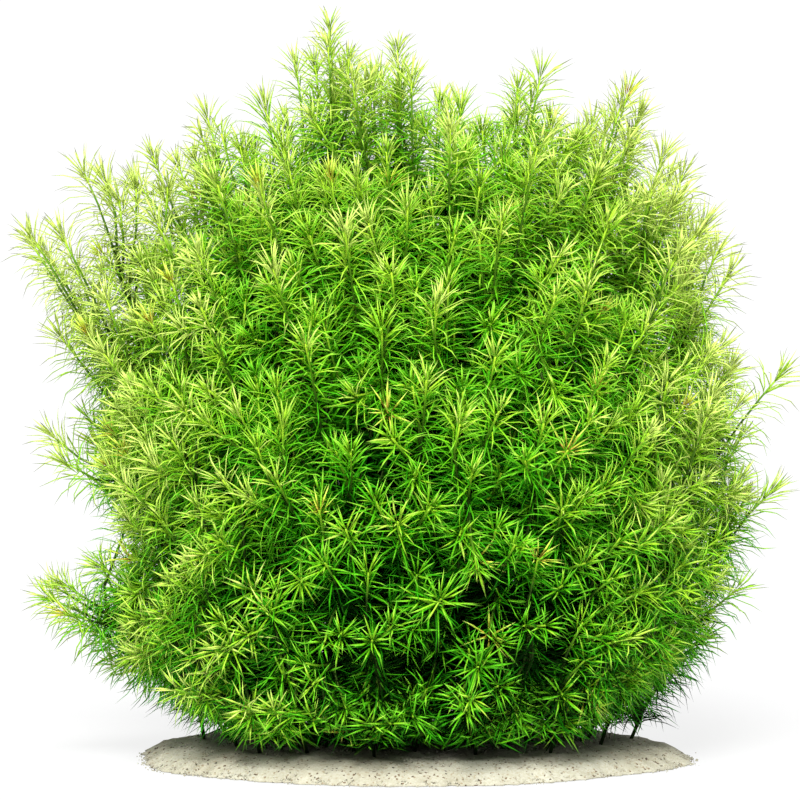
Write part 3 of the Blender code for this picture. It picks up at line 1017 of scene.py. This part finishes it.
def foliage_material():
    """Greens by the leaf's tone, with streaks along it, a painted highlight towards the end of some
    leaves and a duller end on others, and bark-green stems.
    """
    material, tree, shader = new_material("rotala_foliage")
    uv_map = tree.nodes.new("ShaderNodeUVMap")
    uv_map.uv_map = UV_NAMES[0]
    uv = uv_map.outputs["UV"]
    split = node(tree, "ShaderNodeSeparateXYZ", Vector=uv)
    tone, mark = split.outputs["X"], split.outputs["Y"]
    is_dark_ended = maths(tree, "GREATER_THAN", mark, (MARK_SPAN + DARK_MARKS) / 2)
    skipped = maths(tree, "MULTIPLY", is_dark_ended, DARK_MARKS)
    along = maths(tree, "DIVIDE", maths(tree, "SUBTRACT", mark, skipped), MARK_SPAN)
    is_warm = maths(tree, "GREATER_THAN", tone, WARM_FROM)
    fading = maths(tree, "MULTIPLY", is_warm, ramp(tree, along, WARM_FADING))
    greens = mixed(tree, fading, ramp(tree, tone, GREENS), WARM_LEAF_END)
    stretch = node(tree, "ShaderNodeMapping", Vector=uv, Scale=STREAK_STRETCH)
    streaks = noise(tree, stretch.outputs["Vector"], STREAK_SCALE, STREAK_DETAIL)
    leaf = mixed(tree, 1.0, greens, ramp(tree, streaks, STREAK_SHADES), "MULTIPLY")
    # Painted highlight: brightly toned leaves pale in patches towards their end, and dark-ended ones
    # turn duller there instead.
    outer_half, bright = ramp(tree, along, OUTER_HALF), ramp(tree, tone, BRIGHT_TONES)
    outer_bright = maths(tree, "MULTIPLY", outer_half, bright)
    painted_highlight = maths(tree, "MULTIPLY", outer_bright, noise(tree, uv, PATCH_SCALE, PATCH_DETAIL))
    highlighted_leaf = mixed(tree, maths(tree, "MULTIPLY", painted_highlight, PAINTED_HIGHLIGHT_STRENGTH), leaf, PAINTED_HIGHLIGHT_END)
    dark_leaf = mixed(tree, outer_bright, leaf, DARK_END)
    leaf = mixed(tree, is_dark_ended, highlighted_leaf, dark_leaf)
    is_stem = maths(tree, "GREATER_THAN", mark, STEM_MARKS_FROM)
    # The gloss follows the tone, so the painted shade also dims the reflections of dark leaves.
    gloss = maths(tree, "MULTIPLY", tone, GLOSS_BY_TONE)
    fed(
        tree,
        shader,
        Base_Color=mixed(tree, is_stem, leaf, ramp(tree, tone, BARK)),
        Roughness=LEAF_ROUGHNESS,
        Specular_IOR_Level=maths(tree, "MINIMUM", gloss, MOST_GLOSS),
        Specular_Tint=GLOSS_TINT,
        Normal=bump(tree, streaks, STREAK_BUMP, STREAK_BUMP_HEIGHT),
    )
    return material


def sand_material():
    """Pale beige grains, with darker and brown ones among them."""
    material, tree, shader = new_material("sand_grains")
    place = tree.nodes.new("ShaderNodeTexCoord").outputs["Object"]
    grains = node(tree, "ShaderNodeTexVoronoi", Vector=place, Scale=SPECK_SCALE)
    pick = node(tree, "ShaderNodeSeparateXYZ", Vector=grains.outputs["Color"])
    color = ramp(tree, pick.outputs["X"], SAND_COLORS)
    damp = ramp(tree, noise(tree, place, DAMP_SCALE, DAMP_DETAIL), DAMP_SHADES)
    fed(
        tree,
        shader,
        Base_Color=mixed(tree, 1.0, color, damp, "MULTIPLY"),
        Roughness=SAND_ROUGHNESS,
        Normal=bump(tree, grains.outputs["Distance"], SPECK_BUMP, SPECK_BUMP_HEIGHT),
    )
    return material


# Sand


def sand_outline(turn):
    """How far the patch's uneven edge lies out at a turn about its middle, as a share."""
    return 1 + sum(size * np.sin(n * turn + phase) for n, size, phase in SAND_WAVES)


def sand_height(share):
    """The mound's height at a share of the way from its middle to its edge."""
    shares, heights = np.array(SAND_PROFILE).T
    return np.interp(share, shares, THIN_RIM + (SAND_PLATEAU - THIN_RIM) * heights)


def uneven(x, y, seed, count, wavelength, height):
    """Uneven ground as a sum of waves in random directions."""
    rng = random.Random(seed)
    total = np.zeros_like(x)
    for _ in range(count):
        turn, phase = rng.uniform(0, math.pi), rng.uniform(0, FULL_TURN)
        step = FULL_TURN / (wavelength * rng.uniform(*WAVELENGTH_JITTER))
        total += np.sin((x * math.cos(turn) + y * math.sin(turn)) * step + phase)
    return total * height / math.sqrt(count)


def sand_mound():
    """The low mound, with its uneven top and its flat underside."""
    turns = np.arange(SAND_SIDES) * FULL_TURN / SAND_SIDES
    cos, sin = np.cos(turns), np.sin(turns)
    ragged = 1 + uneven(cos * RAGGED_RADIUS, sin * RAGGED_RADIUS, *RAGGED_EDGE)
    outline = sand_outline(turns) * ragged
    shares = np.linspace(0, 1, SAND_RINGS + 1)[1:, None] ** RING_CROWDING
    x = SAND_HALF[0] * outline * cos * shares
    y = SAND_HALF[1] * outline * sin * shares
    rough = sum(uneven(x, y, *relief) for relief in SAND_RELIEFS)
    z = sand_height(shares) + rough * (1 - RIM_SMOOTHER * shares**RIM_SMOOTHER_POWER)
    top = np.stack([x, y, np.maximum(z, THIN_RIM)], axis=2).reshape(-1, 3)
    rim = np.stack([x[-1], y[-1], np.zeros(SAND_SIDES)], axis=1)
    middle = np.array([[0, 0, SAND_PLATEAU], [0, 0, 0]])
    verts = np.concatenate([top, rim, middle])
    crown, under = len(verts) - 2, len(verts) - 1
    tris = []
    for k in range(SAND_RINGS):
        for j in range(SAND_SIDES):
            a, b = k * SAND_SIDES + j, k * SAND_SIDES + (j + 1) % SAND_SIDES
            c, d = b + SAND_SIDES, a + SAND_SIDES
            tris += [(a, c, b), (a, d, c)]
    last = SAND_RINGS * SAND_SIDES
    for j in range(SAND_SIDES):
        after = (j + 1) % SAND_SIDES
        tris += [(crown, j, after), (under, last + after, last + j)]
    return verts, np.array(tris)


def sand_grain(rng):
    """The corners of one grain, loose about the rim or else on the mound."""
    turn = rng.uniform(0, FULL_TURN)
    loose = rng.random() < LOOSE_SHARE
    share = LOOSE_FROM + abs(rng.gauss(0, LOOSE_SPREAD)) if loose else math.sqrt(rng.random())
    radius = rng.uniform(*(LOOSE_RADIUS if loose else GRAIN_RADIUS))
    out = float(sand_outline(turn)) * share
    ground = float(sand_height(share)) if share < 1 else 0.0
    x, y = SAND_HALF[0] * out * math.cos(turn), SAND_HALF[1] * out * math.sin(turn)
    stretch = np.array([rng.uniform(*GRAIN_STRETCH) for _ in range(3)]) * radius
    spin = rng.uniform(0, math.pi)
    cos, sin = math.cos(spin), math.sin(spin)
    across, deep, high = (GRAIN_CORNERS * stretch).T
    grain = np.stack([across * cos - deep * sin, across * sin + deep * cos, high], axis=1)
    grain = grain + (x, y, max(ground, radius * GRAIN_LIFT))
    grain[:, 2] = np.maximum(grain[:, 2], 0)
    return grain


def make_sand(material):
    """The mound with all its grains, as one piece."""
    rng = random.Random(GRAIN_SEED)
    grains = [(sand_grain(rng), GRAIN_TRIS) for _ in range(GRAIN_COUNT)]
    verts, tris = joined([sand_mound()] + grains)
    return make_object("sand", verts, tris, material)


# Studio


def make_floor():
    """A plain white floor, on which the shadow is only faint."""
    material, tree, shader = new_material("white_floor")
    fed(tree, shader, Base_Color=FLOOR_GREY, Roughness=FLOOR_ROUGHNESS, Specular_IOR_Level=0.0)
    glow = node(tree, "ShaderNodeEmission", Strength=1.0)
    rays = tree.nodes.new("ShaderNodeLightPath")
    share = maths(tree, "MULTIPLY", rays.outputs["Is Camera Ray"], FLOOR_WHITENESS)
    blend = node(tree, "ShaderNodeMixShader", Fac=share)
    tree.links.new(shader.outputs["BSDF"], blend.inputs[1])
    tree.links.new(glow.outputs["Emission"], blend.inputs[2])
    tree.links.new(blend.outputs["Shader"], tree.nodes["Material Output"].inputs["Surface"])
    bpy.ops.mesh.primitive_plane_add(size=FLOOR_SIZE, location=(0, 0, FLOOR_HEIGHT))
    floor = bpy.context.object
    floor.name = "floor"
    floor.data.materials.append(material)


def make_key_light():
    """One broad soft light, high up in front of the bush."""
    data = bpy.data.lights.new("key", "SUN")
    data.energy = KEY_STRENGTH
    data.angle = KEY_SOFTNESS
    light = bpy.data.objects.new("key", data)
    light.location = KEY_FROM
    light.rotation_euler = (-KEY_FROM).to_track_quat("-Z", "Y").to_euler()
    bpy.context.scene.collection.objects.link(light)


def make_world():
    """Soft even light, in front of a backdrop that looks white."""
    world = bpy.data.worlds.new("studio")
    world.use_nodes = True
    tree = world.node_tree
    seen = tree.nodes.new("ShaderNodeLightPath").outputs["Is Camera Ray"]
    strength = node(tree, "ShaderNodeMapRange", Value=seen, To_Min=AMBIENT, To_Max=1.0)
    sky = tree.nodes["Background"]
    fed(tree, sky, Color=(1, 1, 1), Strength=strength.outputs["Result"])
    bpy.context.scene.world = world


def make_camera():
    """As in the photo: in front, slightly above the bush, with a narrow view."""
    data = bpy.data.cameras.new("camera")
    data.sensor_width = SENSOR_WIDTH
    data.lens = data.sensor_width * CAMERA_DISTANCE / PICTURE_WIDTH
    camera = bpy.data.objects.new("camera", data)
    back = Vector((0, -math.cos(CAMERA_ELEVATION), math.sin(CAMERA_ELEVATION)))
    camera.location = CAMERA_AIM + back * CAMERA_DISTANCE
    camera.rotation_euler = (-back).to_track_quat("-Z", "Y").to_euler()
    bpy.context.scene.collection.objects.link(camera)
    bpy.context.scene.camera = camera


def plan_bush():
    """The stems, with a path for every shoot and twig."""
    stems = lay_out_bush()
    grow_shoots(stems)
    add_twigs(stems, TWIG_COUNT, TWIG_REACH, TWIG_SEED)
    add_companions(stems)
    add_outline_twigs(stems)
    add_twigs(stems, INNER_TWIG_COUNT, INNER_TWIG_REACH, INNER_TWIG_SEED)
    for band in (SKIRT, CORE, CROWN):
        add_band(stems, band)
    return stems


def make_leafy_stem(name, shoots, rng, material):
    """One piece: a stem with all its shoots, twigs and leaves."""
    sets = []
    for j, shoot in enumerate(shoots):
        sets.append(tube(shoot["path"], j == 0))
        sets += leafy_shoot(shoot, rng)
    verts, tris, pairs = joined(sets)
    piece = make_object(name, verts, tris, material)
    hold_pairs(piece.data, tris, pairs)
    return piece


def main():
    foliage = foliage_material()
    for k, stem in enumerate(plan_bush()):
        rng = random.Random(LEAF_SEED + k)
        piece = make_leafy_stem(f"leafy_stem_{k + 1:02d}", stem["shoots"], rng, foliage)
        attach(piece, "root")
        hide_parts(f"stem_{k + 1:02d}")
    sand = make_sand(sand_material())
    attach(sand, "root")
    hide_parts("sand_bed")
    make_world()
    make_floor()
    make_key_light()
    make_camera()
    bpy.context.scene.view_settings.view_transform = "Standard"


main()
